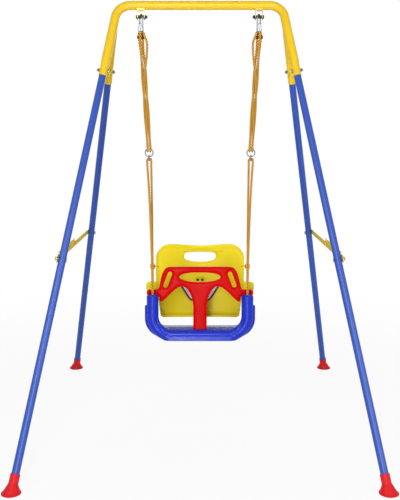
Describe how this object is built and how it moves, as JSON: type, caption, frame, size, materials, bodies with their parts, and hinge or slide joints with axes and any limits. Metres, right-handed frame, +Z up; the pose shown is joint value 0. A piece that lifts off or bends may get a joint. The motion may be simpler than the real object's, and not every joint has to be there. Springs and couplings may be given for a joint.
{
  "type": "indoor toddler swing frame",
  "caption": "Folding A-frame of bent steel tube that carries a roped bucket swing seat with a backrest, a sliding safety bar and a harness.",
  "frame": {"origin": "on the floor, at the middle of the four feet", "axes": "+Z up, the front of the swing faces -Y, +X to the right as seen by a viewer in front"},
  "size_m": [1.054, 1.174, 1.3501],
  "materials": {
    "gold_paint": "gloss powder coat",
    "blue_paint": "gloss powder coat",
    "red_plastic": "moulded, satin gloss",
    "zinc": "bright zinc plate",
    "yellow_zinc": "yellow zinc plate",
    "dark_nylon": "moulded, matte",
    "rope": "laid polyester rope",
    "blue_plastic": "moulded, satin gloss",
    "yellow_plastic": "moulded, satin gloss",
    "webbing": "flat woven webbing with a pale stripe"
  },
  "bodies": {
    "frame": {"top_arch": "gold_paint", "rear_arm_left": "gold_paint", "rear_arm_right": "gold_paint", "front_leg_left": "blue_paint", "front_leg_right": "blue_paint", "front_foot_left": "red_plastic", "front_foot_right": "red_plastic", "front_lock_bolts": "zinc", "front_lock_nuts": "yellow_zinc", "fold_bolts": "zinc", "fold_nuts": "yellow_zinc", "brace_front_bolts": "zinc", "brace_front_nuts": "yellow_zinc", "brace_spacers": "zinc", "hanger_brackets": "zinc", "hanger_bolts": "zinc", "hanger_nuts": "yellow_zinc", "hanger_bushes": "dark_nylon"},
    "rear_leg_left": {"rear_leg_left": "blue_paint", "rear_knuckle_left": "gold_paint", "rear_foot_left": "red_plastic", "brace_rear_bolt_left": "zinc", "brace_rear_nut_left": "yellow_zinc"},
    "front_link_left": {"brace_front_link_left": "gold_paint", "brace_rivet_left": "zinc"},
    "rear_link_left": {"brace_rear_link_left": "gold_paint", "brace_rivet_seat_left": "zinc"},
    "rear_leg_right": {"rear_leg_right": "blue_paint", "rear_knuckle_right": "gold_paint", "rear_foot_right": "red_plastic", "brace_rear_bolt_right": "zinc", "brace_rear_nut_right": "yellow_zinc"},
    "front_link_right": {"brace_front_link_right": "gold_paint", "brace_rivet_right": "zinc"},
    "rear_link_right": {"brace_rear_link_right": "gold_paint", "brace_rivet_seat_right": "zinc"},
    "hangers": {"snap_hook_left": "zinc", "snap_hook_right": "zinc", "upper_rope_left": "rope", "upper_rope_right": "rope", "rope_collars": "rope", "upper_rings": "zinc"},
    "gate_left": {"snap_gate_left": "zinc"},
    "gate_right": {"snap_gate_right": "zinc"},
    "seat": {"lower_rings": "zinc", "lower_rope_left": "rope", "lower_rope_right": "rope", "seat_shell": "blue_plastic", "backrest": "yellow_plastic", "rope_eyes": "yellow_plastic", "rope_eye_pins": "dark_nylon", "harness_strap_left": "webbing", "harness_strap_right": "webbing", "buckle_body": "dark_nylon", "buckle_tongue": "dark_nylon", "harness_anchor": "dark_nylon", "harness_rivets": "dark_nylon"},
    "safety_bar": {"safety_bar": "red_plastic"}
  },
  "joints": [
    {"name": "fold_left", "type": "hinge", "parent": "frame", "child": "rear_leg_left", "pos_m": [-0.29212, 0.06703, 1.13824], "axis": [-0.9837, 0, 0.1797], "range_deg": [0, 46]},
    {"name": "front_link_turn_left", "type": "hinge", "parent": "frame", "child": "front_link_left", "pos_m": [-0.39298, -0.3062, 0.586], "axis": [-0.9837, 0, 0.1797], "range_deg": [-77.44, 0]},
    {"name": "rear_link_turn_left", "type": "hinge", "parent": "rear_leg_left", "child": "rear_link_left", "pos_m": [-0.39298, 0.3062, 0.586], "axis": [-0.9837, 0, 0.1797], "range_deg": [0, 31.98]},
    {"name": "fold_right", "type": "hinge", "parent": "frame", "child": "rear_leg_right", "pos_m": [0.29212, 0.06703, 1.13824], "axis": [-0.9837, 0, -0.1797], "range_deg": [0, 46]},
    {"name": "front_link_turn_right", "type": "hinge", "parent": "frame", "child": "front_link_right", "pos_m": [0.39298, -0.3062, 0.586], "axis": [-0.9837, 0, -0.1797], "range_deg": [-77.44, 0]},
    {"name": "rear_link_turn_right", "type": "hinge", "parent": "rear_leg_right", "child": "rear_link_right", "pos_m": [0.39298, 0.3062, 0.586], "axis": [-0.9837, 0, -0.1797], "range_deg": [0, 31.98]},
    {"name": "swing", "type": "hinge", "parent": "frame", "child": "hangers", "pos_m": [0, 0.01862, 1.301], "axis": [1, 0, 0], "range_deg": [-42, 42]},
    {"name": "seat_rock", "type": "hinge", "parent": "hangers", "child": "seat", "pos_m": [0, 0.01862, 0.8633], "axis": [1, 0, 0], "range_deg": [-20, 20]},
    {"name": "safety_bar_lift", "type": "slide", "parent": "seat", "child": "safety_bar", "axis": [0, 0.2028, 0.9792], "range_m": [0, 0.15]},
    {"name": "gate_open_left", "type": "hinge", "parent": "hangers", "child": "gate_left", "pos_m": [-0.18994, 0.02891, 1.25733], "axis": [0.866, 0.5, 0], "range_deg": [0, 18], "stiffness_Nm_per_rad": 0.02, "springref_deg": -11.46},
    {"name": "gate_open_right", "type": "hinge", "parent": "hangers", "child": "gate_right", "pos_m": [0.18994, 0.02891, 1.25733], "axis": [0.866, -0.5, 0], "range_deg": [0, 18], "stiffness_Nm_per_rad": 0.02, "springref_deg": -11.46}
  ],
  "couplings": [
    {"joint": "front_link_turn_left", "follows": "fold_left", "ratio": -1.6727},
    {"joint": "rear_link_turn_left", "follows": "fold_left", "ratio": 0.68438},
    {"joint": "front_link_turn_right", "follows": "fold_right", "ratio": -1.6727},
    {"joint": "rear_link_turn_right", "follows": "fold_right", "ratio": 0.68438}
  ]
}
